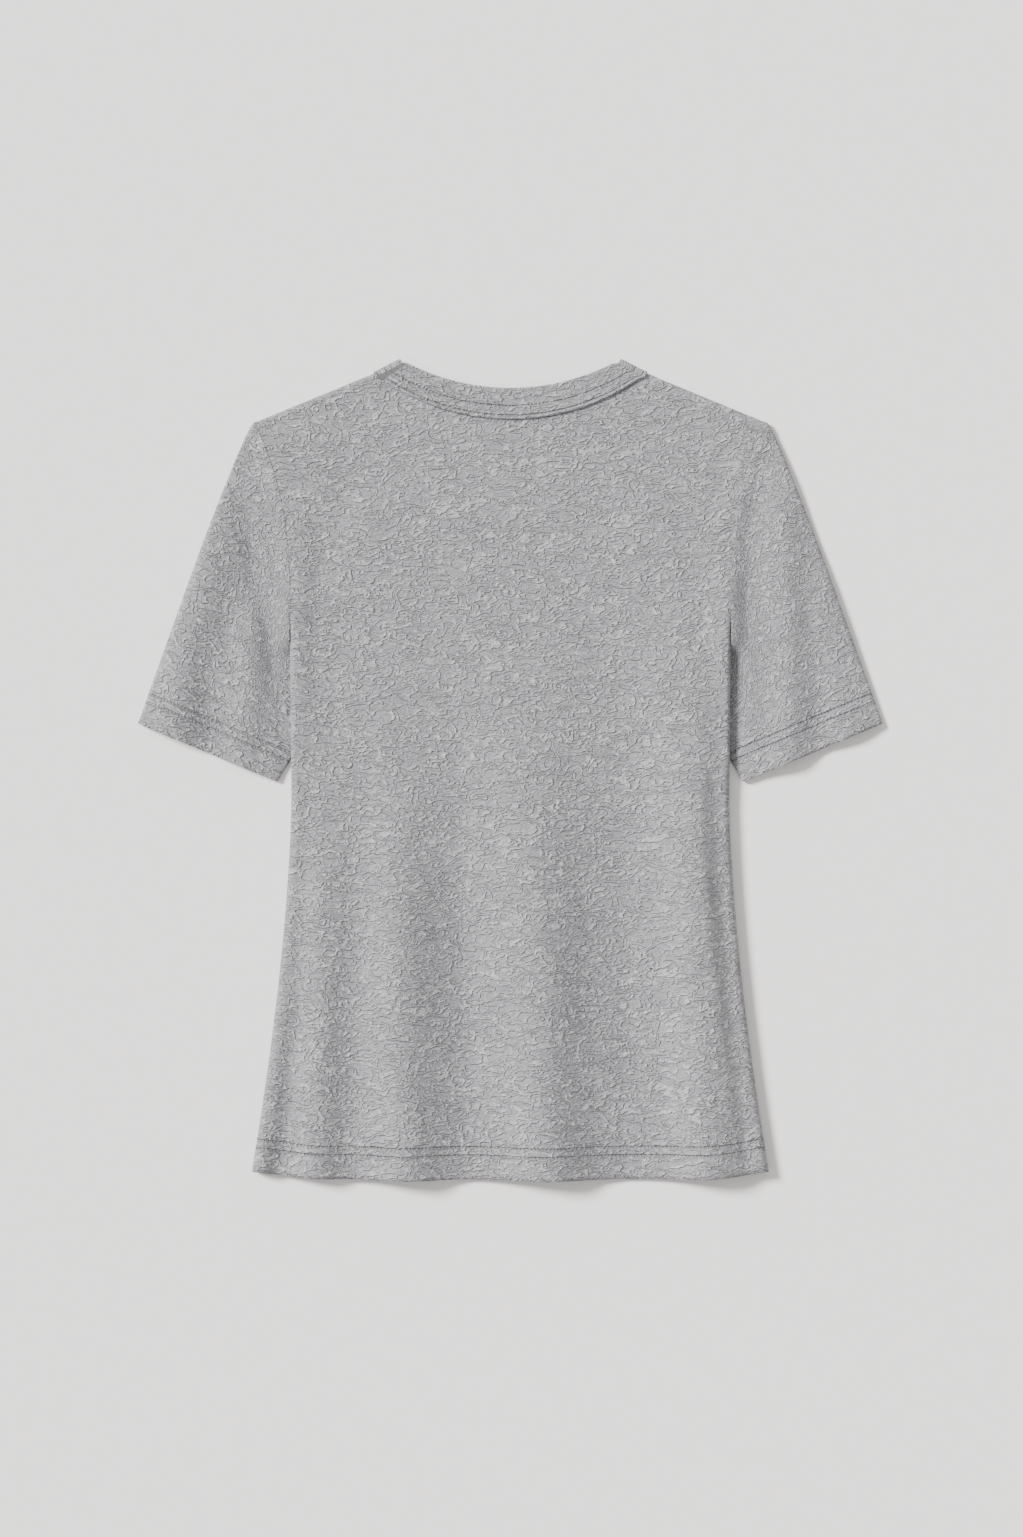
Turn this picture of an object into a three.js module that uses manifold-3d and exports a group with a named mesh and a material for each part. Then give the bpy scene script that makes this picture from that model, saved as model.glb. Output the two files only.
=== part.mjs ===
// A v-neck t-shirt of textured jersey, laid on a flat surface with its back up.
//
// Millimetres, +Z up.  +X is to the viewer's right and +Y is towards the neck.  The surface is z = 0,
// and the origin is on it, under the middle of the garment's outline.
//
// Five cut pieces: the front lies flat on the surface, the back lies over it in long soft flutes, each
// sleeve is a flattened tube, and the neckband is one doubled strip round the whole neckline.  The
// body's sides are rolled under, so the underarm end of each sleeve lies beneath the body.
import * as THREE from 'three';
import Module from 'manifold-3d';

const wasm = await Module();
wasm.setup();

// ---------------------------------------------------------------- driving sizes
const wall = 1.2; // cloth thickness
const bandWall = 2.2; // the neckband is folded double
const seamGap = 0.3; // clearance between sewn pieces
const floorLevel = wall / 2; // middle of a layer that lies on the surface
const tuckLevel = 2.6; // middle of the sleeve's upper layer where the body lies on it
const overTuck = tuckLevel + wall + seamGap; // middle of the body layer that lies on the sleeve

const hem = { y: -313, cornerY: -307, halfWidth: 197.7 };
const waist = { y: -20, halfWidth: 167.3, flare: 1.6 };
const shoulder = { x: 195.6, y: 267.5 };
const armhole = { straightY: 120, halfWidth: 168.2, curve: 2.6, foldY: 103, foldX: 168.4 };
const underarm = { x: 131, y: 72 };
const neck = { x: 84, y: 315.3, backY: 293.5, frontY: 155 };
const neckSeam = { x: 104.8, y: 304.7, backY: 269.3 };
const cuff = { outerX: 285.3, outerY: 36.3, innerX: 179.3, innerY: -8 };
const sleeveBow = 3.4; // how far the sleeve's outer fold bows outwards
const sideSeam = { waistY: -60, waist: 200, hem: 208 }; // half widths of the back panel spread flat

// heights of the middle of the upper layer
const hemBase = 4.6; // in the valleys between flutes
const backBase = 6.2; // on the upper back
const rollHeight = 11.6; // top of the rolled side
const armholeHeight = 8.2; // along the upper armhole seam
const shoulderHeight = 7; // along the shoulder

// the body's flutes: each is a soft ridge from the hem upwards, which dies out at its top end
const flutes = [
  { hemX: -150, topX: -138, topY: 150, height: 7.6, hemHalf: 20, topHalf: 26 },
  { hemX: -81, topX: -92, topY: 120, height: 8.6, hemHalf: 24, topHalf: 30 },
  { hemX: 30, topX: 8, topY: 110, height: 9.4, hemHalf: 34, topHalf: 44 },
  { hemX: 153, topX: 128, topY: 170, height: 8.4, hemHalf: 30, topHalf: 30 },
];

// each sleeve's ridges, from near the shoulder to the cuff, as seen on the right side
const sleeveBase = 4.4;
const sleeveRidges = {
  left: [
    { topX: 216, topY: 215, cuffX: 262, cuffY: 22, height: 7.4, topHalf: 13, cuffHalf: 24 },
    { topX: 196, topY: 120, cuffX: 206, cuffY: 0, height: 4.2, topHalf: 12, cuffHalf: 18 },
  ],
  right: [
    { topX: 204, topY: 225, cuffX: 214, cuffY: 5, height: 7.6, topHalf: 13, cuffHalf: 20 },
    { topX: 226, topY: 170, cuffX: 262, cuffY: 25, height: 4.4, topHalf: 14, cuffHalf: 22 },
  ],
};

// ---------------------------------------------------------------- small helpers
const mix = (a, b, t) => a + (b - a) * t;
const clamp01 = (t) => Math.min(1, Math.max(0, t));
const smooth = (edge0, edge1, value) => {
  const t = clamp01((value - edge0) / (edge1 - edge0));
  return t * t * (3 - 2 * t);
};
const range = (count) => Array.from({ length: count }, (_, i) => i);

// y on a circular arc that passes through (0, middleY) and (±endX, endY)
function arcY(x, middleY, endX, endY) {
  const rise = endY - middleY;
  const radius = (endX * endX + rise * rise) / (2 * rise);
  return middleY + radius - Math.sqrt(radius * radius - x * x);
}

// ---------------------------------------------------------------- outline of the body
// half width of what shows from above: the armhole seam, the straight side, then the flare to the hem
function bodyHalfWidth(y) {
  if (y > armhole.straightY) {
    const t = Math.min(1, (y - armhole.straightY) / (shoulder.y - armhole.straightY));
    return mix(armhole.halfWidth, shoulder.x, t ** armhole.curve);
  }
  if (y > waist.y) {
    return mix(waist.halfWidth, armhole.halfWidth, smooth(waist.y, armhole.straightY, y));
  }
  const t = (waist.y - y) / (waist.y - hem.cornerY);
  return mix(waist.halfWidth, hem.halfWidth, t ** waist.flare);
}

const hemY = (x) => mix(hem.y, hem.cornerY, (Math.abs(x) / hem.halfWidth) ** 6);
const shoulderRadius = (shoulderHeight - floorLevel) / 2;
const shoulderSlope = (neckSeam.y - shoulder.y) / (shoulder.x - neckSeam.x);
const shoulderY = (x) => shoulder.y + (shoulder.x - Math.abs(x)) * shoulderSlope;

// ---------------------------------------------------------------- the back's height
// how far down the side the body lies on the sleeve: 1 beside the sleeve, 0 below it
const overSleeve = (y) => smooth(-20, 8, y);

function edgeHeight(y) {
  const upper = mix(armholeHeight, shoulderHeight, smooth(150, shoulder.y, y));
  return mix(rollHeight, upper, smooth(armhole.foldY, 170, y));
}

function backHeight(x, y) {
  let z = mix(hemBase, backBase, smooth(hem.y, 60, y));
  for (const flute of flutes) {
    const t = clamp01((y - hem.y) / (flute.topY - hem.y));
    const centre = mix(flute.hemX, flute.topX, t);
    const half = mix(flute.hemHalf, flute.topHalf, t);
    const height = flute.height * (1 - smooth(0.35, 1, t));
    z += height * Math.exp(-(((x - centre) / half) ** 2));
  }
  const inset = bodyHalfWidth(y) - Math.abs(x);
  const toShoulder = smooth(34, 3, shoulderY(x) - y) * smooth(80, 120, Math.abs(x));
  z = mix(z, edgeHeight(y), smooth(26, 6, inset));
  return mix(z, shoulderHeight, toShoulder);
}

// ---------------------------------------------------------------- the rolled side
// radius of the roll, and how much of it is there: none along the upper armhole
const rollFloor = (y) => mix(floorLevel, overTuck, overSleeve(y));
const rollRadius = (y) => (edgeHeight(y) - rollFloor(y)) / 2;
const rollStrength = (y) => 1 - smooth(armhole.foldY, 135, y);

// length of cloth from the start of the roll to the panel's edge, which is the side seam below the
// underarm and the armhole seam above it
function clothPastRoll(y) {
  const start = bodyHalfWidth(y) - rollRadius(y);
  const halfTurn = Math.PI * rollRadius(y);
  if (y >= armhole.foldY) {
    return bodyHalfWidth(y) - start;
  }
  if (y > underarm.y) {
    const t = (armhole.foldY - y) / (armhole.foldY - underarm.y);
    const most = halfTurn + start - underarm.x;
    return mix(bodyHalfWidth(armhole.foldY) - start, most, 1 - Math.sqrt(1 - t * t));
  }
  const atUnderarm = 2 * start + halfTurn - underarm.x;
  const width =
    y > sideSeam.waistY
      ? mix(sideSeam.waist, atUnderarm, smooth(sideSeam.waistY, underarm.y, y))
      : mix(sideSeam.hem, sideSeam.waist, smooth(hem.cornerY, sideSeam.waistY, y));
  return Math.max(halfTurn + 2, width - start);
}

// where the sleeve's underarm fold lies
const underarmFoldX = (y) =>
  mix(underarm.x, cuff.innerX, (underarm.y - y) / (underarm.y - cuff.innerY));

// the point a length of cloth past the start of the roll, on the right side
function rolled(y, length) {
  const radius = rollRadius(y);
  const start = bodyHalfWidth(y) - radius;
  const strength = rollStrength(y);
  const top = edgeHeight(y);
  if (strength < 1e-3) {
    return { x: start + length, z: top };
  }
  const bend = radius / strength;
  const angle = length / bend;
  if (angle < Math.PI) {
    return { x: start + bend * Math.sin(angle), z: top - bend * (1 - Math.cos(angle)) };
  }
  const x = start - (length - Math.PI * bend);
  const low = mix(floorLevel, rollFloor(y), smooth(underarmFoldX(y) - 22, underarmFoldX(y) - 13, x));
  return { x, z: y > cuff.innerY ? low : rollFloor(y) };
}

const backEdge = (y) => rolled(y, clothPastRoll(y));

// ---------------------------------------------------------------- shells
// A wall round a grid of middle-surface points, rows by columns, offset half the thickness along the
// grid's normals and kept above the surface.  A ring joins its last row to its first.
function shell(grid, thickness, ring) {
  const rows = grid.length;
  const columns = grid[0].length;
  const at = (i, j) => grid[(i + rows) % rows][j];
  const sides = [];
  for (const sign of [1, -1]) {
    sides.push(
      range(rows).map((i) =>
        range(columns).map((j) => {
          const before = ring || i > 0 ? at(i - 1, j) : at(i, j);
          const after = ring || i < rows - 1 ? at(i + 1, j) : at(i, j);
          const along = new THREE.Vector3().subVectors(after, before);
          const across = new THREE.Vector3().subVectors(
            grid[i][Math.min(j + 1, columns - 1)],
            grid[i][Math.max(j - 1, 0)]
          );
          const normal = along.cross(across).normalize();
          const point = grid[i][j].clone().addScaledVector(normal, (sign * thickness) / 2);
          point.z = Math.max(point.z, 0);
          return point;
        })
      )
    );
  }
  const positions = [];
  for (const side of sides) {
    for (const row of side) {
      for (const point of row) {
        positions.push(point.x, point.y, point.z);
      }
    }
  }
  const index = (side, i, j) => side * rows * columns + (i % rows) * columns + j;
  const faces = [];
  const quad = (a, b, c, d) => faces.push(a, b, c, a, c, d);
  const spans = ring ? rows : rows - 1;
  for (const i of range(spans)) {
    for (const j of range(columns - 1)) {
      quad(index(0, i, j), index(0, i + 1, j), index(0, i + 1, j + 1), index(0, i, j + 1));
      quad(index(1, i, j), index(1, i, j + 1), index(1, i + 1, j + 1), index(1, i + 1, j));
    }
    quad(index(0, i + 1, 0), index(0, i, 0), index(1, i, 0), index(1, i + 1, 0));
    const last = columns - 1;
    quad(index(0, i, last), index(0, i + 1, last), index(1, i + 1, last), index(1, i, last));
  }
  if (!ring) {
    for (const j of range(columns - 1)) {
      quad(index(0, 0, j), index(0, 0, j + 1), index(1, 0, j + 1), index(1, 0, j));
      const end = rows - 1;
      quad(index(0, end, j + 1), index(0, end, j), index(1, end, j), index(1, end, j + 1));
    }
  }
  return outward({ positions, faces });
}

// turns every face over if they point inwards
function outward({ positions, faces }) {
  const corner = (i) => new THREE.Vector3().fromArray(positions, 3 * faces[i]);
  const volume = range(faces.length / 3).reduce(
    (sum, k) => sum + corner(3 * k).dot(corner(3 * k + 1).cross(corner(3 * k + 2))),
    0
  );
  return { positions, faces: volume < 0 ? faces.reverse() : faces };
}

function geometryOf({ positions, faces }) {
  const geometry = new THREE.BufferGeometry();
  geometry.setAttribute('position', new THREE.Float32BufferAttribute(positions, 3));
  geometry.setIndex(faces);
  geometry.computeVertexNormals();
  return geometry;
}

function solidOf({ positions, faces }) {
  const mesh = new wasm.Mesh({
    numProp: 3,
    vertProperties: new Float32Array(positions),
    triVerts: new Uint32Array(faces),
  });
  return new wasm.Manifold(mesh);
}

function geometryOfSolid(solid) {
  const mesh = solid.getMesh();
  return geometryOf({ positions: Array.from(mesh.vertProperties), faces: Array.from(mesh.triVerts) });
}

// ---------------------------------------------------------------- back
// y of each row at the panel's side; closer together where the armhole turns under the roll
const sideRows = [
  -307, -274, -236, -196, -155, -112, -68, -26, 6, 30, 52, 72, 74, 79, 85, 92, 100, 112, 130, 160, 200,
  238,
];
const middleColumns = 26;
const turnSteps = 5;
const wrapSteps = 3;
const shoulderTurnSteps = 4;

function backGrid() {
  const ends = range(turnSteps + wrapSteps).map((k) => k + 1);
  const columns = [
    ...[...ends].reverse().map((k) => ({ side: -1, past: k })),
    ...range(middleColumns + 1).map((k) => ({ share: (2 * k) / middleColumns - 1 })),
    ...ends.map((k) => ({ side: 1, past: k })),
  ];
  // share of the column's length at each row, and the turn over the shoulder
  const rows = sideRows.map((y) => ({ t: (y - hem.cornerY) / (shoulder.y - hem.cornerY), turn: 0 }));
  const turns = range(shoulderTurnSteps + 1).map((k) => ({ t: 1, turn: (Math.PI * k) / shoulderTurnSteps }));

  return [...rows, ...turns].map(({ t, turn }) =>
    columns.map(({ side, past, share }) => {
      const edge = share ?? side;
      const bottom = hemY(edge * hem.halfWidth);
      const topX = share === undefined ? shoulder.x : share * (shoulder.x - rollRadius(shoulder.y));
      const foldY = shoulderY(topX);
      const top = foldY - shoulderRadius;
      const y = turn > 0 ? top + shoulderRadius * Math.sin(turn) : Math.min(top, mix(bottom, foldY, t));
      const drop = shoulderRadius * (1 - Math.cos(turn));
      if (past === undefined) {
        const x = share * (bodyHalfWidth(y) - rollRadius(y));
        return new THREE.Vector3(x, y, backHeight(x, y) - drop);
      }
      const length = clothPastRoll(y);
      const turned = Math.min(Math.PI * rollRadius(y), 0.7 * length);
      const cloth =
        past <= turnSteps
          ? (turned * past) / turnSteps
          : mix(turned, length, (past - turnSteps) / wrapSteps);
      const point = rolled(y, cloth);
      return new THREE.Vector3(side * point.x, y, point.z - drop);
    })
  );
}

// prism over the neck opening: the seam's arc, closed well above the shoulder
function neckCutter() {
  const shape = new THREE.Shape();
  const reach = neckSeam.x + 3 * seamGap;
  const steps = 24;
  for (const k of range(steps + 1)) {
    const x = mix(-1, 1, k / steps) * reach;
    const y = arcY(x, neckSeam.backY, neckSeam.x, neckSeam.y) - seamGap;
    if (k === 0) {
      shape.moveTo(x, y);
    } else {
      shape.lineTo(x, y);
    }
  }
  shape.lineTo(reach, 420);
  shape.lineTo(-reach, 420);
  shape.closePath();
  return extruded(shape, 60, -20);
}

// a plan outline made into a prism, as positions and faces with shared corners
function extruded(shape, height, bottom) {
  const points = shape.getPoints();
  const outline = points[0].equals(points[points.length - 1]) ? points.slice(0, -1) : points;
  if (THREE.ShapeUtils.isClockWise(outline)) {
    outline.reverse();
  }
  const count = outline.length;
  const positions = [];
  for (const z of [bottom, bottom + height]) {
    for (const point of outline) {
      positions.push(point.x, point.y, z);
    }
  }
  const faces = [];
  for (const [a, b, c] of THREE.ShapeUtils.triangulateShape(outline, [])) {
    faces.push(c, b, a, a + count, b + count, c + count);
  }
  for (const i of range(count)) {
    const next = (i + 1) % count;
    faces.push(i, next, next + count, i, next + count, i + count);
  }
  return { positions, faces };
}

function makeBack() {
  const panel = solidOf(shell(backGrid(), wall, false));
  return panel.subtract(solidOf(neckCutter()));
}

// ---------------------------------------------------------------- front
const frontScoop = { y: 132, inset: 2.2 }; // the front armhole is scooped deeper than the back's

function frontArmholeX(y) {
  const inset = frontScoop.inset * (1 - smooth(frontScoop.y, 250, y));
  const t = clamp01((frontScoop.y - y) / (frontScoop.y - underarm.y));
  return mix(underarm.x, bodyHalfWidth(y) - inset, Math.sqrt(1 - t * t));
}

// the V's seam line: the neckband's width out from the neck edge, square to it
const vLine = new THREE.Vector2(neck.x, neck.y - neck.frontY).normalize();
const bandWidth = Math.hypot(neckSeam.x - neck.x, neckSeam.y - neck.y);
const vSeamY = neck.frontY - bandWidth / vLine.x;

function makeFront() {
  const right = [];
  const place = (x, y) => right.push(new THREE.Vector2(x, y));
  place(0, vSeamY - seamGap / vLine.x);
  const top = (x) => shoulderY(x) - shoulderRadius - 2 * seamGap;
  const slope = vLine.y / vLine.x;
  // where the V's seam line meets the shoulder's edge
  const cornerX = (top(0) - right[0].y) / (slope + shoulderSlope);
  place(cornerX, top(cornerX));
  const armholeTop = top(shoulder.x) - 4 * seamGap;
  place(frontArmholeX(armholeTop) - 4 * seamGap, armholeTop);
  for (const y of [240, 205, 170, 145, 125, 108, 94, 80]) {
    place(frontArmholeX(y) - mix(4 * seamGap, 2 * seamGap, smooth(90, 140, y)), y);
  }
  place(underarm.x - 5 * seamGap, underarm.y - seamGap);
  for (const y of [...sideRows].reverse().filter((row) => row < underarm.y)) {
    place(backEdge(y).x - seamGap, y);
  }
  for (const x of [150, 100, 50]) {
    place(x, hemY(x));
  }
  const left = right
    .slice(1)
    .reverse()
    .map((point) => new THREE.Vector2(-point.x, point.y));
  return solidOf(extruded(new THREE.Shape([...right, ...left]), wall, 0));
}

// ---------------------------------------------------------------- sleeves
const sleeveSamples = 10;
const foldSamples = 3;
const sleeveRows = [0, 0.07, 0.16, 0.28, 0.42, 0.56, 0.7, 0.84, 1];

// the sleeve's edge beside the body: along the visible armhole, then down and under the roll
const turnedUnder = { from: 100, to: 86 };

function sleeveSeamX(y) {
  const beside = bodyHalfWidth(y) + (wall / 2) * rollStrength(y) + seamGap;
  return mix(backEdge(y).x, beside, smooth(84, 90, y));
}

const sleeveSeamHeight = (y) =>
  mix(tuckLevel, backEdge(y).z, smooth(turnedUnder.to, turnedUnder.from, y));

// height of the sleeve's upper layer at a plan point on the right side
function sleeveHeight(x, y, ridges) {
  let z = sleeveBase;
  for (const ridge of ridges) {
    const alongX = ridge.cuffX - ridge.topX;
    const alongY = ridge.cuffY - ridge.topY;
    const length = Math.hypot(alongX, alongY);
    const t = ((x - ridge.topX) * alongX + (y - ridge.topY) * alongY) / (length * length);
    const off = ((x - ridge.topX) * alongY - (y - ridge.topY) * alongX) / length;
    const half = mix(ridge.topHalf, ridge.cuffHalf, clamp01(t));
    z += ridge.height * smooth(-0.2, 0.25, t) * Math.exp(-((off / half) ** 2));
  }
  const beside = Math.max(y > armhole.foldY ? sleeveSeamX(y) : bodyHalfWidth(y) + 1, 0);
  return mix(sleeveSeamHeight(Math.max(y, underarm.y)), z, smooth(1, 15, x - beside));
}

// a point at a share of a polyline's length
function along(points, share) {
  const lengths = points.slice(1).map((point, i) => point.distanceTo(points[i]));
  let left = clamp01(share) * lengths.reduce((a, b) => a + b, 0);
  for (const [i, length] of lengths.entries()) {
    if (left <= length || i === lengths.length - 1) {
      return points[i].clone().lerp(points[i + 1], left / length);
    }
    left -= length;
  }
  return points[points.length - 1].clone();
}

function sleeveGrid(side, ridges) {
  const ys = [267.5, 262, 255, 242, 225, 200, 175, 150, 130, 115, 103, 96, 91, 88, 85, 82, 78, 75, 73, 72];
  const upper = ys.map((y) => new THREE.Vector2(sleeveSeamX(y), y));
  const lower = ys.map((y) => new THREE.Vector2(frontArmholeX(y), y));
  upper[0].x = shoulder.x + seamGap;
  lower[0].copy(upper[0]);
  lower[ys.length - 1].copy(upper[ys.length - 1]);
  const cuffOuter = new THREE.Vector2(cuff.outerX, cuff.outerY);
  const cuffInner = new THREE.Vector2(cuff.innerX, cuff.innerY);

  // plan point: straight lines from the armhole to the cuff, the outer fold bowed out
  const plan = (edge, share, v) => {
    const bow = sleeveBow * Math.sin(Math.PI * Math.sqrt(v)) * (1 - share);
    const point = along(edge, share).lerp(cuffOuter.clone().lerp(cuffInner, share), v);
    point.x += bow;
    point.y += bow * 0.4;
    return point;
  };

  // samples round the ring: the distance in from a fold, or a share between the folds
  const inFold = range(foldSamples).map((k) => (Math.PI / 2) * ((k + 1) / foldSamples));
  const between = range(sleeveSamples).map((k) => (k + 1) / (sleeveSamples + 1));
  const half = [
    ...inFold.map((angle) => ({ fold: 'outer', angle })),
    ...between.map((share) => ({ share })),
    ...[...inFold].reverse().map((angle) => ({ fold: 'inner', angle })),
  ];
  const ring = [
    { fold: 'outer', angle: 0, upper: true },
    ...half.map((sample) => ({ ...sample, upper: true })),
    { fold: 'inner', angle: 0, upper: true },
    ...[...half].reverse().map((sample) => ({ ...sample, upper: false })),
  ];

  return ring.map((sample) =>
    sleeveRows.map((v) => {
      const edge = sample.upper ? upper : lower;
      const across = plan(edge, 0, v).distanceTo(plan(edge, 1, v));
      const radiusAt = (share) => {
        const point = plan(upper, share, v);
        return Math.max(1, (sleeveHeight(point.x, point.y, ridges) - floorLevel) / 2);
      };
      const outerRadius = Math.min(radiusAt(6 / across), 5);
      const innerRadius = Math.min(radiusAt(1 - 3 / across), 3);
      let share;
      let fullness = 1;
      if (sample.fold === 'outer') {
        share = (outerRadius * (1 - Math.cos(sample.angle))) / across;
        fullness = Math.sin(sample.angle);
      } else if (sample.fold === 'inner') {
        share = 1 - (innerRadius * (1 - Math.cos(sample.angle))) / across;
        fullness = Math.sin(sample.angle);
      } else {
        share = mix(outerRadius / across, 1 - innerRadius / across, sample.share);
      }
      const point = plan(edge, share, v);
      const top = sleeveHeight(point.x, point.y, ridges);
      const middle = (top + floorLevel) / 2;
      const z = middle + (sample.upper ? 1 : -1) * fullness * (top - middle);
      return new THREE.Vector3(side * point.x, point.y, sample.upper ? z : Math.min(z, middle));
    })
  );
}

const makeSleeve = (side, ridges) => solidOf(shell(sleeveGrid(side, ridges), wall, true));

// ---------------------------------------------------------------- neckband
const bandTop = 6.6; // middle of the band where it lies across the back
const bandFloor = bandWall / 2;
const bandBackSteps = 20;
const bandTurnSteps = 4;
const bandFrontSteps = 6;

function bandGrid() {
  const radius = (bandTop - bandFloor) / 2;
  const across = new THREE.Vector2(neckSeam.x - neck.x, neckSeam.y - neck.y).normalize();
  const out = new THREE.Vector2(-across.y, across.x);
  const station = (innerX, innerY, outerX, outerY, z) =>
    [0, 0.5, 1].map((w) => new THREE.Vector3(mix(innerX, outerX, w), mix(innerY, outerY, w), z));
  const stations = [];
  for (const k of range(bandBackSteps - 1)) {
    const f = -1 + (2 * (k + 1)) / bandBackSteps;
    const innerY = arcY(f * neck.x, neck.backY, neck.x, neck.y);
    const outerY = arcY(f * neckSeam.x, neckSeam.backY, neckSeam.x, neckSeam.y);
    stations.push(station(f * neck.x, innerY, f * neckSeam.x, outerY, bandTop));
  }
  // over the fold at the shoulder's neck end, on the given side
  const turn = (side, angle) => {
    const reach = radius * (Math.sin(angle) - 1);
    const z = bandTop - radius * (1 - Math.cos(angle));
    return station(
      side * (neck.x + out.x * reach),
      neck.y + out.y * reach,
      side * (neckSeam.x + out.x * reach),
      neckSeam.y + out.y * reach,
      z
    );
  };
  const angles = range(bandTurnSteps + 1).map((k) => (Math.PI * k) / bandTurnSteps);
  stations.push(...angles.map((angle) => turn(1, angle)));
  const legs = range(2 * bandFrontSteps - 1).map((k) => (k + 1) / bandFrontSteps - 1);
  for (const f of legs) {
    const side = f < 0 ? 1 : -1;
    const share = Math.abs(f);
    const [innerEnd, , outerEnd] = turn(side, Math.PI);
    stations.push(
      station(
        innerEnd.x * share,
        mix(neck.frontY, innerEnd.y, share),
        outerEnd.x * share,
        mix(vSeamY, outerEnd.y, share),
        bandFloor
      )
    );
  }
  stations.push(...[...angles].reverse().map((angle) => turn(-1, angle)));
  return stations;
}

const makeNeckband = () => solidOf(shell(bandGrid(), bandWall, true));

// ---------------------------------------------------------------- the garment
const largest = (solid) => solid.decompose().sort((a, b) => b.volume() - a.volume())[0];

// cuts a piece back from its neighbour so that the seam's clearance is left along each axis, and
// drops edges shorter than the tolerance
const tolerance = 0.04;

function clearOf(solid, neighbour) {
  let result = solid;
  for (const axis of [0, 1, 2]) {
    for (const sign of [-1, 1]) {
      const shift = [0, 0, 0];
      shift[axis] = sign * seamGap;
      result = result.subtract(neighbour.translate(shift));
    }
  }
  return largest(largest(result).simplify(tolerance));
}

const neckband = makeNeckband();
const back = clearOf(makeBack(), neckband);
const sleeveLeft = clearOf(makeSleeve(-1, sleeveRidges.left), back);
const sleeveRight = clearOf(makeSleeve(1, sleeveRidges.right), back);
const front = makeFront();

const colours = { cloth: 0xadacae };
const shirt = new THREE.Group();

function add(name, solid) {
  const material = new THREE.MeshStandardMaterial({ color: colours.cloth, roughness: 0.92, metalness: 0 });
  const mesh = new THREE.Mesh(geometryOfSolid(solid), material);
  mesh.name = name;
  shirt.add(mesh);
}

add('front', front);
add('back', back);
add('sleeve_left', sleeveLeft);
add('sleeve_right', sleeveRight);
add('neckband', neckband);

export default shirt;
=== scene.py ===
# A v-neck t-shirt of heathered grey textured jersey, laid flat with its back up: looks and materials.
import math

import bpy
import numpy as np
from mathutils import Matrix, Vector


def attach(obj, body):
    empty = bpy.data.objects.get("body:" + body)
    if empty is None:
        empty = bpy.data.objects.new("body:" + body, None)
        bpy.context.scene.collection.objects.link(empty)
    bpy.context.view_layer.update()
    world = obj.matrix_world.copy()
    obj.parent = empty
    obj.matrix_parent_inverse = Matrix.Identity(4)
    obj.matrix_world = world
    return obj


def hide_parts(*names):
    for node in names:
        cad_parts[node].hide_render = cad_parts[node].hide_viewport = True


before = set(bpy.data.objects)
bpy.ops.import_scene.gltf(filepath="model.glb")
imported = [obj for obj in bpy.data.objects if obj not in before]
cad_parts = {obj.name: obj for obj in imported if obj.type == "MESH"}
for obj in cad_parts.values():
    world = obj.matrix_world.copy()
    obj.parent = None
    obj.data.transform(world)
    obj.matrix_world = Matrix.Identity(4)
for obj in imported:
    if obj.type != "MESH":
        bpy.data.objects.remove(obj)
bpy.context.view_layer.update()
mm = 0.001

# sizes of the garment in millimetres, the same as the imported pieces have
hemY, hemCornerY, hemHalf = -313.0, -307.0, 197.7
waistY, waistHalf, flare = -20.0, 167.3, 1.6
shoulderX, shoulderEndY = 195.6, 267.5
armStraightY, armHalf, armCurve, armFoldY = 120.0, 168.2, 2.6, 103.0
underarmX, underarmY = 131.0, 72.0
neckX, neckY, neckBackY, neckFrontY = 84.0, 315.3, 293.5, 155.0
seamX, seamY, seamBackY = 104.8, 304.7, 269.3
cuffOuter, cuffInner = np.array([285.3, 36.3]), np.array([179.3, -8.0])
floorLevel, tuckLevel, overTuck = 0.6, 2.6, 4.1
rollHeight, armHeight, shoulderHeight = 11.6, 8.2, 7.0
clothThickness = 1.1

# the back's flutes: x at the hem and at the top end, height, and half widths on the left and right
flutes = [
    {"hemX": -150, "topX": -138, "topY": 150, "height": 10.5, "left": 18, "right": 20},
    {"hemX": -81, "topX": -92, "topY": 120, "height": 15.5, "left": 24, "right": 28},
    {"hemX": 30, "topX": 8, "topY": 110, "height": 17.0, "left": 32, "right": 30},
    {"hemX": 153, "topX": 128, "topY": 190, "height": 15.5, "left": 24, "right": 34},
]
# faint creases elsewhere on the back: a line from one end to the other, with a height and half width
backCreases = [
    {"from": (-128, 150), "to": (-142, -60), "height": -1.5, "half": 10},
    {"from": (-40, 60), "to": (-30, -300), "height": -1.2, "half": 11},
    {"from": (86, 20), "to": (94, -300), "height": -1.4, "half": 12},
    {"from": (120, 230), "to": (148, 120), "height": -1.1, "half": 12},
    {"from": (-118, 235), "to": (-150, 140), "height": -1.1, "half": 11},
    {"from": (-30, 150), "to": (-8, -90), "height": 0.8, "half": 26},
    {"from": (108, -40), "to": (118, -250), "height": -0.9, "half": 9},
    {"from": (-100, -150), "to": (-112, -290), "height": 0.8, "half": 9},
]
sleeveFolds = {
    "left": [
        {"from": (216, 220), "to": (262, 22), "height": 7.4, "half": 21},
        {"from": (193, 150), "to": (206, 0), "height": 4.0, "half": 14},
        {"from": (209, 222), "to": (180, 70), "height": -2.6, "half": 8},
        {"from": (240, 110), "to": (232, 25), "height": -1.4, "half": 10},
    ],
    "right": [
        {"from": (206, 235), "to": (214, 5), "height": 7.8, "half": 16},
        {"from": (226, 170), "to": (262, 25), "height": 4.4, "half": 20},
        {"from": (224, 150), "to": (240, 30), "height": -1.2, "half": 9},
    ],
}


def mix(a, b, t):
    return a + (b - a) * t


def smooth(low, high, value):
    t = np.clip((value - low) / (high - low), 0, 1)
    return t * t * (3 - 2 * t)


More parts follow.
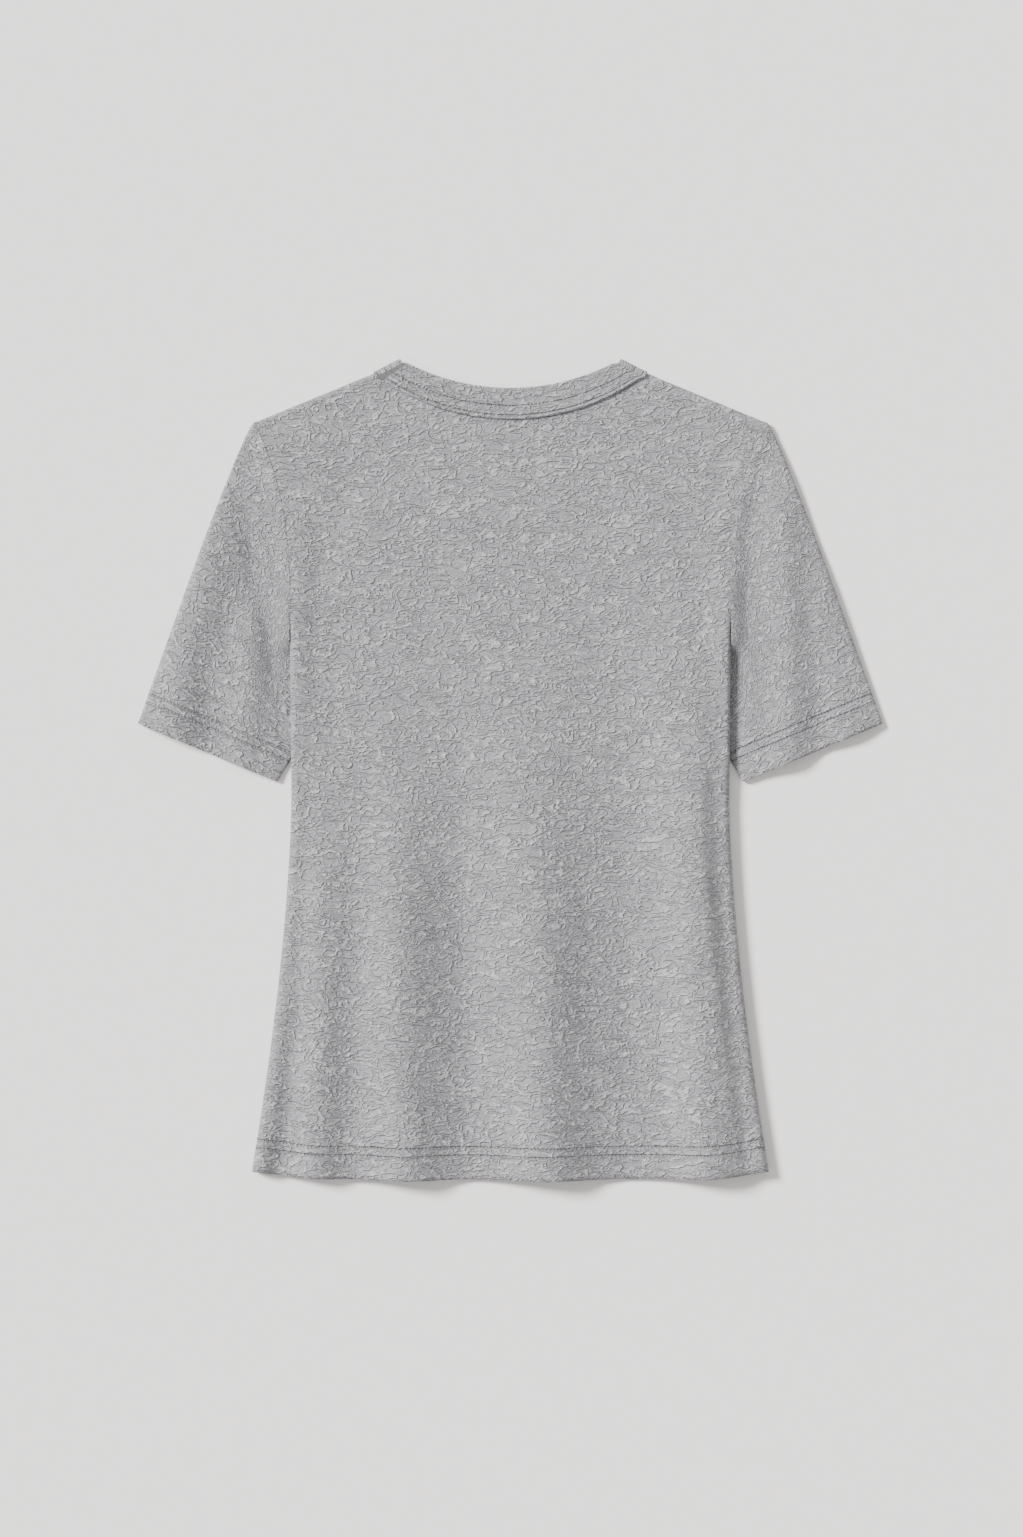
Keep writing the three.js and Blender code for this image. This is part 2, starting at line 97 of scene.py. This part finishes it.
def arcY(x, middleY, endX, endY):  # circular arc through (0, middleY) and (endX, endY)
    rise = endY - middleY
    radius = (endX * endX + rise * rise) / (2 * rise)
    return middleY + radius - np.sqrt(np.maximum(radius * radius - x * x, 0))


def halfWidth(y):  # armhole seam above, straight side, then the flare to the hem
    rise = np.clip((y - armStraightY) / (shoulderEndY - armStraightY), 0, 1)
    upper = mix(armHalf, shoulderX, rise**armCurve)
    middle = mix(waistHalf, armHalf, smooth(waistY, armStraightY, y))
    lower = mix(waistHalf, hemHalf, np.clip((waistY - y) / (waistY - hemCornerY), 0, None) ** flare)
    return np.where(y > armStraightY, upper, np.where(y > waistY, middle, lower))


slope = (seamY - shoulderEndY) / (shoulderX - seamX)


def shoulderY(x):
    return shoulderEndY + (shoulderX - np.abs(x)) * slope


# a crease is a soft ridge or trough: a bell across its line that dies out at both ends
def creaseHeight(x, y, crease):
    (x0, y0), (x1, y1) = crease["from"], crease["to"]
    length = math.hypot(x1 - x0, y1 - y0)
    t = ((x - x0) * (x1 - x0) + (y - y0) * (y1 - y0)) / length**2
    off = ((x - x0) * (y1 - y0) - (y - y0) * (x1 - x0)) / length
    ends = smooth(-0.15, 0.3, t) * (1 - 0.6 * smooth(0.9, 1.3, t))
    return crease["height"] * ends * np.exp(-((off / crease["half"]) ** 2))


def edgeHeight(y):
    upper = mix(armHeight, shoulderHeight, smooth(150, shoulderEndY, y))
    return mix(rollHeight, upper, smooth(armFoldY, 170, y))


# the back's height: a low base, plus each flute's lopsided bell, levelled towards the side and shoulder
def backHeight(x, y):
    z = mix(4.4, 6.4, smooth(hemY, 60, y)) + 0 * x
    for flute in flutes:
        t = np.clip((y - hemY) / (flute["topY"] - hemY), 0, 1)
        off = x - mix(flute["hemX"], flute["topX"], t)
        half = np.where(off < 0, flute["left"], flute["right"]) * (1 + 0.3 * t)
        z = z + flute["height"] * (1 - smooth(0.35, 1.05, t)) * np.exp(-((off / half) ** 2))
    for crease in backCreases:
        z = z + creaseHeight(x, y, crease)
    z = z + 0.35 * np.sin(x / 23 + np.sin(y / 61)) * np.sin(y / 47 + 1.3 * np.sin(x / 53))
    z = mix(z, edgeHeight(y), smooth(24, 6, halfWidth(y) - np.abs(x)))
    toShoulder = smooth(30, 3, shoulderY(x) - y) * smooth(80, 120, np.abs(x))
    return mix(np.maximum(z, 3.6), shoulderHeight, toShoulder)


def rollFloor(y):
    return mix(floorLevel, overTuck, smooth(-20, 8, y))


def rollRadius(y):
    return (edgeHeight(y) - rollFloor(y)) / 2


def clothPastRoll(y):  # cloth from the start of the roll to the side seam or armhole seam
    start = halfWidth(y) - rollRadius(y)
    turn = math.pi * rollRadius(y)
    atUnderarm = 2 * start + turn - underarmX
    upperSide = mix(200.0, atUnderarm, smooth(-60, underarmY, y))
    lowerSide = mix(208.0, 200.0, smooth(hemCornerY, -60, y))
    below = np.maximum(turn + 2, np.where(y > -60, upperSide, lowerSide) - start)
    t = np.clip((armFoldY - y) / (armFoldY - underarmY), 0, 1)
    arm = mix(rollRadius(y), turn + start - underarmX, 1 - np.sqrt(1 - t * t))
    return np.where(y >= armFoldY, rollRadius(y), np.where(y > underarmY, arm, below))


def foldX(y):  # where the sleeve's underarm fold lies
    return mix(underarmX, cuffInner[0], (underarmY - y) / (underarmY - cuffInner[1]))


def rolled(y, length):  # a length of cloth round the rolled side: an arc, then flat inwards
    radius = rollRadius(y)
    start = halfWidth(y) - radius
    bend = radius / np.maximum(1 - smooth(armFoldY, 135, y), 1e-4)
    angle = np.minimum(length / bend, math.pi)
    flat = np.maximum(length - math.pi * bend, 0)
    x = start + bend * np.sin(angle) - flat
    low = mix(floorLevel, rollFloor(y), smooth(foldX(y) - 22, foldX(y) - 13, x))
    low = np.where(y > cuffInner[1], low, rollFloor(y))
    z = edgeHeight(y) - bend * (1 - np.cos(angle))
    return x, np.where(flat > 0, low, z)


# a grid of points becomes one object with a UV map in metres
def gridObject(name, points, uv, ring=False, tube=False, thickness=0.0):
    rows, columns = points.shape[:2]
    i, j = np.meshgrid(
        np.arange(rows if ring else rows - 1), np.arange(columns if tube else columns - 1), indexing="ij"
    )
    i, j = i.ravel(), j.ravel()
    iNext, jNext = (i + 1) % rows, (j + 1) % columns
    quads = np.stack([i * columns + j, i * columns + jNext, iNext * columns + jNext, iNext * columns + j], 1)
    flatPoints = points.reshape(-1, 3) * mm
    flatPoints[:, 2] = np.maximum(flatPoints[:, 2], floorLevel * mm)  # no lower than the surface
    a, b, c = flatPoints[quads[:, 0]], flatPoints[quads[:, 1]], flatPoints[quads[:, 2]]
    d = flatPoints[quads[:, 3]]
    facing = np.cross(c - a, d - b)
    centre = (a + c) / 2 - np.array([0, 0, flatPoints[:, 2].mean()])
    # faces above the piece's middle look up and those below look down, or all are turned over
    if (facing[:, 2] * np.sign(centre[:, 2])).sum() < 0:
        quads = quads[:, ::-1]
    mesh = bpy.data.meshes.new(name)
    mesh.from_pydata(flatPoints.tolist(), [], quads.tolist())
    layer = mesh.uv_layers.new(name="cloth")
    loops = np.empty(len(mesh.loops), dtype=np.int32)
    mesh.loops.foreach_get("vertex_index", loops)
    layer.data.foreach_set("uv", (uv.reshape(-1, 2)[loops] * mm).ravel().astype(np.float32))
    mesh.polygons.foreach_set("use_smooth", np.ones(len(mesh.polygons), dtype=bool))
    mesh.update()
    piece = bpy.data.objects.new(name, mesh)
    bpy.context.scene.collection.objects.link(piece)
    if thickness:
        solid = piece.modifiers.new("thickness", "SOLIDIFY")
        solid.thickness = thickness * mm
        solid.offset = 0
    return piece


def makeBack():
    spans = ((hemCornerY, 40, 104), (40, 112, 44), (112, shoulderEndY, 44))
    sideY = np.unique(np.concatenate([np.linspace(*span) for span in spans]))
    share = (sideY - hemCornerY) / (shoulderEndY - hemCornerY)
    radius = (shoulderHeight - floorLevel) / 2
    turns = np.linspace(0, math.pi, 9)[1:]
    share = np.concatenate([share, np.ones(len(turns))])
    turn = np.concatenate([np.zeros(len(sideY)), turns])[:, None]
    middle = np.linspace(-1, 1, 191)
    past = np.linspace(0, 1, 21)[1:]
    edge = np.concatenate([-np.ones(20), middle, np.ones(20)])[None, :]
    pastShare = np.concatenate([past[::-1], np.zeros(191), past])[None, :]
    side = np.sign(edge)
    bottom = mix(hemY, hemCornerY, np.abs(edge) ** 6)
    atTop = edge * shoulderX
    neckEdge = arcY(np.clip(atTop, -seamX, seamX), seamBackY, seamX, seamY) + 3.0
    foldLine = np.where(np.abs(atTop) < seamX, np.minimum(neckEdge, shoulderY(atTop)), shoulderY(atTop))
    top = foldLine - radius
    y = np.minimum(top, mix(bottom, foldLine, share[:, None]))
    y = np.where(turn > 0, top + radius * np.sin(turn), y)
    drop = radius * (1 - np.cos(turn))
    x = edge * (halfWidth(y) - rollRadius(y))
    z = backHeight(x, y)
    length = clothPastRoll(y)
    turned = np.minimum(math.pi * rollRadius(y), 0.7 * length)
    turnShare = 0.65
    wrapped = mix(turned, length, (pastShare - turnShare) / (1 - turnShare))
    cloth = np.where(pastShare <= turnShare, turned * pastShare / turnShare, wrapped)
    rollX, rollZ = rolled(y, cloth)
    x = np.where(pastShare > 0, side * rollX, x)
    z = np.where(pastShare > 0, rollZ, z) - drop
    y = y + 0 * x
    points = np.stack([x, y, z], -1)
    u = np.where(pastShare > 0, side * (halfWidth(y) - rollRadius(y) + cloth), x)
    uv = np.stack([u, y - bottom + drop], -1)
    return gridObject("shirt_back", points, uv, thickness=clothThickness)


def makeFront():
    vWidth = math.hypot(seamX - neckX, seamY - neckY)
    vSlope = (neckY - neckFrontY) / neckX
    vSeam = neckFrontY - vWidth * math.hypot(1, vSlope)
    s = np.linspace(-1, 1, 121)[None, :]
    t = np.linspace(0, 1, 90)[:, None]
    topX = np.abs(s) * (shoulderX - 2)
    top = np.minimum(vSeam + topX * vSlope, shoulderY(topX) - 4.2)
    bottom = mix(hemY, hemCornerY, np.abs(s) ** 6)
    y = mix(bottom, top, t)
    seam = rolled(y, clothPastRoll(y))[0]
    t2 = np.clip((132 - y) / (132 - underarmY), 0, 1)
    armhole = mix(underarmX, halfWidth(y) - 2.2 * (1 - smooth(132, 250, y)), np.sqrt(1 - t2 * t2))
    x = s * (np.where(y > underarmY, armhole, seam) - 1.2)
    points = np.stack([x, y + 0 * x, np.full_like(x, floorLevel)], -1)
    return gridObject("shirt_front", points, np.stack([x, y - bottom + 0 * x], -1), thickness=clothThickness)


def sleeveSeam(y):  # beside the body on top, then under the roll
    x, z = rolled(y, clothPastRoll(y))
    beside = halfWidth(y) + 0.6 * (1 - smooth(armFoldY, 135, y)) + 0.1
    return mix(x, beside, smooth(84, 90, y)), mix(tuckLevel, z, smooth(86, 100, y))


def sleeveHeight(x, y, folds):
    z = 4.4 + 0 * x
    for fold in folds:
        z = z + creaseHeight(x, y, fold)
    z = z + 0.3 * np.sin(x / 13 + y / 31) * np.sin(y / 29 + 1.1)
    atSeam, level = sleeveSeam(np.maximum(y, underarmY))
    beside = np.where(y > armFoldY, atSeam, halfWidth(y) + 1)
    return mix(level, np.maximum(z, 3.0), smooth(0.5, 15, x - beside))


def makeSleeve(name, side, folds):
    ys = np.concatenate([np.linspace(267.5, 104, 60), np.linspace(103, 72, 60)])
    edges = []
    for x in (sleeveSeam(ys)[0], None):
        if x is None:
            t = np.clip((132 - ys) / (132 - underarmY), 0, 1)
            x = mix(underarmX, halfWidth(ys) - 2.2 * (1 - smooth(132, 250, ys)), np.sqrt(1 - t * t))
        x[0], x[-1] = shoulderX + 0.2, underarmX + 0.3
        edges.append(np.stack([x, ys], -1))
    v = (np.linspace(0, 1, 100) ** 1.25)[None, :]

    def plan(edge, share):  # lines from the armhole to the cuff, with the outer fold bowed out
        run = np.concatenate([[0], np.cumsum(np.linalg.norm(np.diff(edge, axis=0), axis=1))])
        share = np.clip(share, 0, 1)
        armX = np.interp(share * run[-1], run, edge[:, 0])
        armY = np.interp(share * run[-1], run, edge[:, 1])
        bow = 3.4 * np.sin(math.pi * np.sqrt(v)) * (1 - share)
        cuffX = mix(cuffOuter[0], cuffInner[0], share)
        cuffY = mix(cuffOuter[1], cuffInner[1], share)
        fromCuff = (1 - v) * np.hypot(armX - cuffX, armY - cuffY)
        return mix(armX, cuffX, v) + bow, mix(armY, cuffY, v) + 0.4 * bow, fromCuff

    angles = np.linspace(0, math.pi / 2, 9)[1:]
    between = np.linspace(0, 1, 62)[1:-1]
    kind = np.concatenate([[0], np.zeros(8), np.ones(60), np.full(8, 2), [2]])[:, None]
    angle = np.concatenate([[0], angles, np.zeros(60), angles[::-1], [0]])[:, None]
    inner = np.concatenate([[0], np.zeros(8), between, np.zeros(8), [0]])[:, None]
    halves = []
    for edge, upper in ((edges[0], True), (edges[1], False)):
        ax, ay, _ = plan(edge, np.zeros((1, 1)) + 0 * v)
        bx, by, _ = plan(edge, np.ones((1, 1)) + 0 * v)
        across = np.hypot(ax - bx, ay - by)
        radius = []
        for shareAt, most in ((6 / across, 5.5), (1 - 3 / across, 3.5)):
            px, py, _ = plan(edges[0], shareAt)
            radius.append(np.clip((sleeveHeight(px, py, folds) - floorLevel) / 2, 1, most))
        share = np.where(kind == 0, radius[0] * (1 - np.cos(angle)) / across, 0)
        share = np.where(kind == 1, mix(radius[0] / across, 1 - radius[1] / across, inner), share)
        share = np.where(kind == 2, 1 - radius[1] * (1 - np.cos(angle)) / across, share)
        fullness = np.where(kind == 1, 1, np.sin(angle))
        x, y, fromCuff = plan(edge, share)
        top = sleeveHeight(x, y, folds)
        mid = (top + floorLevel) / 2
        z = mid + (1 if upper else -1) * fullness * (top - mid)
        halves.append((np.stack([side * x, y, z], -1), share * across, fromCuff))
    points = np.concatenate([halves[0][0], halves[1][0][-2:0:-1]])
    u = np.concatenate([halves[0][1], halves[1][1][-2:0:-1]])
    w = np.concatenate([halves[0][2], halves[1][2][-2:0:-1]])
    return gridObject(name, points, np.stack([u, w], -1), ring=True, thickness=clothThickness)


# the neckband: a doubled strip, rounded at the neck edge, with a raised welt at its seam
def makeNeckband():
    bandTop, bandFloor = 8.0, 1.25
    radius = (bandTop - bandFloor) / 2
    across = np.array([seamX - neckX, seamY - neckY])
    across = across / np.linalg.norm(across)
    out = np.array([-across[1], across[0]])
    vSlope = (neckY - neckFrontY) / neckX
    vSeam = neckFrontY - math.hypot(seamX - neckX, seamY - neckY) * math.hypot(1, vSlope)
    f = np.linspace(-0.93, 0.93, 160)
    inner = np.stack([f * neckX, arcY(f * neckX, neckBackY, neckX, neckY), 0 * f + bandTop], -1)
    outer = np.stack([f * seamX, arcY(f * seamX, seamBackY, seamX, seamY), 0 * f + bandTop], -1)
    normal = np.tile([0.0, 0.0, 1.0], (160, 1))

    def turn(side, angle):
        reach = radius * (np.sin(angle) - 1)
        z = bandTop - radius * (1 - np.cos(angle))
        first = np.stack([side * (neckX + out[0] * reach), neckY + out[1] * reach, z], -1)
        second = np.stack([side * (seamX + out[0] * reach), seamY + out[1] * reach, z], -1)
        up = np.stack([side * out[0] * np.sin(angle), out[1] * np.sin(angle), np.cos(angle)], -1)
        return first, second, up

    angles = np.linspace(0, math.pi, 17)
    right, left = turn(1, angles), turn(-1, angles[::-1])
    g = np.linspace(1, -1, 121)[1:-1]
    endIn, endOut = right[0][-1], right[1][-1]
    share = np.abs(g)
    vIn = np.stack([g * endIn[0], mix(neckFrontY, endIn[1], share), 0 * g + bandFloor], -1)
    vOut = np.stack([g * endOut[0], mix(vSeam, endOut[1], share), 0 * g + bandFloor], -1)
    inner = np.concatenate([inner, right[0], vIn, left[0]])
    outer = np.concatenate([outer, right[1], vOut, left[1]])
    normal = np.concatenate([normal, right[2], np.tile([0.0, 0.0, -1.0], (119, 1)), left[2]])

    # cross-section: w runs from the neck edge to the seam, h is half the thickness at w
    w = np.concatenate([[0.0, 0.012, 0.04, 0.08], np.linspace(0.14, 0.86, 19), [0.9, 0.93, 0.955, 0.98, 1.0]])
    h = 1.15 * np.sqrt(np.clip(1 - (1 - np.minimum(w / 0.05, 1)) ** 2, 0, 1))
    h = h + 0.5 * np.exp(-(((w - 0.955) / 0.03) ** 2)) - 0.45 * np.exp(-(((w - 0.885) / 0.018) ** 2))
    h = h - 0.22 * np.exp(-(((w - 0.585) / 0.03) ** 2)) + 0.18 * np.exp(-(((w - 0.3) / 0.22) ** 2))
    h[-1] = 0.5
    h[0] = 0.0
    loopW = np.concatenate([w, w[-1:0:-1]])
    loopH = np.concatenate([h, -0.85 * h[-1:0:-1]])
    points = inner[:, None] + (outer - inner)[:, None] * loopW[None, :, None]
    points = points + normal[:, None] * loopH[None, :, None]
    middle = (inner + outer) / 2
    run = np.concatenate([[0], np.cumsum(np.linalg.norm(np.diff(middle, axis=0), axis=1))])
    uv = np.stack([run[:, None] + 0 * points[..., 0], 24 * loopW[None, :] + 0 * points[..., 0]], -1)
    return gridObject("shirt_neckband", points, uv, ring=True, tube=True)


print("making the pieces")
back = makeBack()
front = makeFront()
sleeveLeft = makeSleeve("shirt_sleeve_left", -1, sleeveFolds["left"])
sleeveRight = makeSleeve("shirt_sleeve_right", 1, sleeveFolds["right"])
neckband = makeNeckband()


def nodeMaker(tree):
    def make(kind, inputs=(), **settings):
        node = tree.nodes.new(kind)
        for key, value in settings.items():
            setattr(node, key, value)
        for socket, value in dict(inputs).items():
            if isinstance(value, bpy.types.NodeSocket):
                tree.links.new(value, node.inputs[socket])
            else:
                node.inputs[socket].default_value = value
        return node

    return make


# textured jersey: curly raised ridges along the courses, painted lighter in the colour as a painted highlight
# on top of their bump, fine heather and a few dark flecks
def makeJerseyGroup():
    group = bpy.data.node_groups.new("texturedJersey", "ShaderNodeTree")
    group.interface.new_socket("Cloth UV", in_out="INPUT", socket_type="NodeSocketVector")
    for name, kind in (("Color", "Color"), ("Height", "Float"), ("Roughness", "Float")):
        group.interface.new_socket(name, in_out="OUTPUT", socket_type=f"NodeSocket{kind}")
    make = nodeMaker(group)
    uv = make("NodeGroupInput").outputs["Cloth UV"]
    out = make("NodeGroupOutput")

    def combine(operation, a, b=0.0):
        return make("ShaderNodeMath", {0: a, 1: b}, operation=operation).outputs[0]

    def noise(scale, detail, distortion, stretch, roughness=0.5):
        mapping = make("ShaderNodeMapping", {"Vector": uv, "Scale": stretch})
        node = make(
            "ShaderNodeTexNoise",
            {
                "Vector": mapping.outputs[0],
                "Scale": scale,
                "Detail": detail,
                "Distortion": distortion,
                "Roughness": roughness,
            },
        )
        return node.outputs["Fac"]

    # a ridge follows the line where the noise passes through its middle value
    def ridge(field, level, width):
        off = combine("ABSOLUTE", combine("SUBTRACT", field, level))
        return make(
            "ShaderNodeMapRange",
            {"Value": off, 1: 0.0, 2: width, 3: 1.0, 4: 0.0},
            interpolation_type="SMOOTHSTEP",
        ).outputs[0]

    curls = ridge(noise(120.0, 1.0, 1.3, (0.62, 1.2, 1.0)), 0.5, 0.085)
    small = ridge(noise(210.0, 1.0, 0.6, (0.6, 1.1, 1.0)), 0.53, 0.07)
    broken = noise(60.0, 2.0, 0.0, (1.0, 1.0, 1.0))
    curls = combine("MULTIPLY", curls, combine("ADD", 0.45, broken))
    grain = noise(900.0, 3.0, 0.0, (0.5, 1.3, 1.0), 0.7)
    patches = noise(28.0, 3.0, 0.3, (1.0, 1.4, 1.0))
    specks = noise(520.0, 1.0, 0.0, (0.7, 1.2, 1.0))
    flecks = make("ShaderNodeMapRange", {"Value": specks, 1: 0.69, 2: 0.76, 3: 0.0, 4: 0.35}).outputs[0]
    # the ridges add a painted highlight to the colour; heather, patches and flecks are the cloth's own colour
    heatherAndRidgeHighlight = combine("ADD", combine("MULTIPLY", curls, 0.22), combine("MULTIPLY", small, 0.14))
    heatherAndRidgeHighlight = combine("ADD", heatherAndRidgeHighlight, combine("MULTIPLY", grain, 0.85))
    heatherAndRidgeHighlight = combine("ADD", heatherAndRidgeHighlight, combine("MULTIPLY", patches, 0.2))
    heatherAndRidgeHighlight = combine("SUBTRACT", combine("SUBTRACT", heatherAndRidgeHighlight, flecks), 0.12)
    ramp = make("ShaderNodeValToRGB", {"Fac": heatherAndRidgeHighlight})
    ramp.color_ramp.elements[0].position = 0.1
    ramp.color_ramp.elements[0].color = (0.095, 0.093, 0.101, 1)
    ramp.color_ramp.elements[1].position = 0.8
    ramp.color_ramp.elements[1].color = (0.51, 0.50, 0.522, 1)
    height = combine("ADD", combine("MULTIPLY", curls, 0.75), combine("MULTIPLY", small, 0.25))
    height = combine("ADD", height, combine("MULTIPLY", grain, 0.35))
    group.links.new(ramp.outputs[0], out.inputs["Color"])
    group.links.new(height, out.inputs["Height"])
    roughness = make("ShaderNodeMapRange", {"Value": heatherAndRidgeHighlight, 1: 0.0, 2: 1.0, 3: 0.97, 4: 0.84}).outputs[0]
    group.links.new(roughness, out.inputs["Roughness"])
    return group


# stitched lines at given distances from the cloth's edge: a groove with stitches along it, the groove painted
# darker as painted shade and the stitches painted lighter
def makeClothMaterial(name, group, lines, stitch=0.0028):
    material = bpy.data.materials.new(name)
    material.use_nodes = True
    tree = material.node_tree
    make = nodeMaker(tree)
    shader = tree.nodes["Principled BSDF"]
    uv = make("ShaderNodeUVMap", uv_map="cloth").outputs[0]
    jersey = make("ShaderNodeGroup", node_tree=group)
    tree.links.new(uv, jersey.inputs["Cloth UV"])
    split = make("ShaderNodeSeparateXYZ", {0: uv})

    def combine(operation, a, b=0.0):
        return make("ShaderNodeMath", {0: a, 1: b}, operation=operation).outputs[0]

    groove, thread = 0.0, 0.0
    for distance, width in lines:
        off = combine("ABSOLUTE", combine("SUBTRACT", split.outputs[1], distance))
        dent = make(
            "ShaderNodeMapRange",
            {"Value": off, 1: 0.0, 2: width, 3: 1.0, 4: 0.0},
            interpolation_type="SMOOTHSTEP",
        ).outputs[0]
        groove = combine("ADD", groove, dent)
        near = make("ShaderNodeMapRange", {"Value": off, 1: 0.0002, 2: 0.0006, 3: 1.0, 4: 0.0}).outputs[0]
        thread = combine("ADD", thread, near)
    phase = combine("FRACT", combine("DIVIDE", split.outputs[0], stitch))
    fromMiddle = combine("ABSOLUTE", combine("SUBTRACT", phase, 0.5))
    dash = make("ShaderNodeMapRange", {"Value": fromMiddle, 1: 0.28, 2: 0.42, 3: 1.0, 4: 0.0}).outputs[0]
    thread = combine("MULTIPLY", thread, dash)
    # painted shade darkens the grooves and the stitches are painted lighter, on top of the bump below
    shade = combine("SUBTRACT", 1.0, combine("MULTIPLY", groove, 0.22))
    shade = combine("ADD", shade, combine("MULTIPLY", thread, 0.18))
    colour = make("ShaderNodeVectorMath", {0: jersey.outputs["Color"]}, operation="SCALE")
    tree.links.new(shade, colour.inputs["Scale"])
    tree.links.new(colour.outputs[0], shader.inputs["Base Color"])
    tree.links.new(jersey.outputs["Roughness"], shader.inputs["Roughness"])
    raised = combine("ADD", jersey.outputs["Height"], combine("MULTIPLY", thread, 0.5))
    height = combine("SUBTRACT", raised, combine("MULTIPLY", groove, 1.3))
    bump = make("ShaderNodeBump", {"Height": height, "Strength": 1.0, "Distance": 0.0023})
    tree.links.new(bump.outputs[0], shader.inputs["Normal"])
    shader.inputs["Sheen Weight"].default_value = 0.15
    shader.inputs["Sheen Roughness"].default_value = 0.6
    shader.inputs["Specular IOR Level"].default_value = 0.25
    return material


print("making the materials")
jerseyGroup = makeJerseyGroup()
# what a user would change: each line's distance from the cloth's edge and half width, in metres
stitching = {
    "hem": [(0.0180, 0.0013), (0.0245, 0.0013)],
    "band": [(0.0140, 0.0010), (0.0212, 0.0009)],
}
clothMaterial = makeClothMaterial("jersey", jerseyGroup, stitching["hem"])
bandMaterial = makeClothMaterial("jerseyBand", jerseyGroup, stitching["band"])
for piece in (back, front, sleeveLeft, sleeveRight):
    piece.data.materials.append(clothMaterial)
neckband.data.materials.append(bandMaterial)

for piece, node, slot in (
    (back, "back", "cloth"),
    (front, "front", "cloth"),
    (sleeveLeft, "sleeve_left", "cloth"),
    (sleeveRight, "sleeve_right", "cloth"),
    (neckband, "neckband", "rib"),
):
    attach(piece, "root")
    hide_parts(node)

print("setting the floor, camera and lights")
bpy.ops.mesh.primitive_grid_add(x_subdivisions=8, y_subdivisions=8, size=6, location=(0, 0, 0))
floor = bpy.context.object
floor.name = "floor"
floorMaterial = bpy.data.materials.new("paleSurface")
floorMaterial.use_nodes = True
makeFloor = nodeMaker(floorMaterial.node_tree)
floorShader = floorMaterial.node_tree.nodes["Principled BSDF"]
coordinates = makeFloor("ShaderNodeTexCoord").outputs["Object"]
mottling = {"Vector": coordinates, "Scale": 60.0, "Detail": 6.0, "Roughness": 0.7}
mottle = makeFloor("ShaderNodeTexNoise", mottling)
floorRamp = makeFloor("ShaderNodeValToRGB", {"Fac": mottle.outputs["Fac"]})
floorRamp.color_ramp.elements[0].color = (0.93, 0.90, 0.885, 1)
floorRamp.color_ramp.elements[1].color = (0.97, 0.94, 0.925, 1)
floorMaterial.node_tree.links.new(floorRamp.outputs[0], floorShader.inputs["Base Color"])
floorShader.inputs["Roughness"].default_value = 0.9
floor.data.materials.append(floorMaterial)

viewCentre = (0.0009, 0.0019)
viewHeight = 1.177
lens = 70.0
cameraData = bpy.data.cameras.new("camera")
cameraData.sensor_fit = "VERTICAL"
cameraData.sensor_height = 36.0
cameraData.lens = lens
camera = bpy.data.objects.new("camera", cameraData)
camera.location = (viewCentre[0], viewCentre[1], viewHeight * lens / 36.0 + 0.008)
bpy.context.scene.collection.objects.link(camera)
bpy.context.scene.camera = camera

key = bpy.data.lights.new("key", "SUN")
key.energy = 7.2
key.angle = math.radians(16)
keyObject = bpy.data.objects.new("key", key)
keyObject.rotation_euler = Vector((1.0, -0.55, -0.85)).to_track_quat("-Z", "Y").to_euler()
bpy.context.scene.collection.objects.link(keyObject)
world = bpy.context.scene.world or bpy.data.worlds.new("world")
bpy.context.scene.world = world
world.use_nodes = True
world.node_tree.nodes["Background"].inputs[0].default_value = (1.0, 0.99, 0.98, 1)
world.node_tree.nodes["Background"].inputs[1].default_value = 0.78
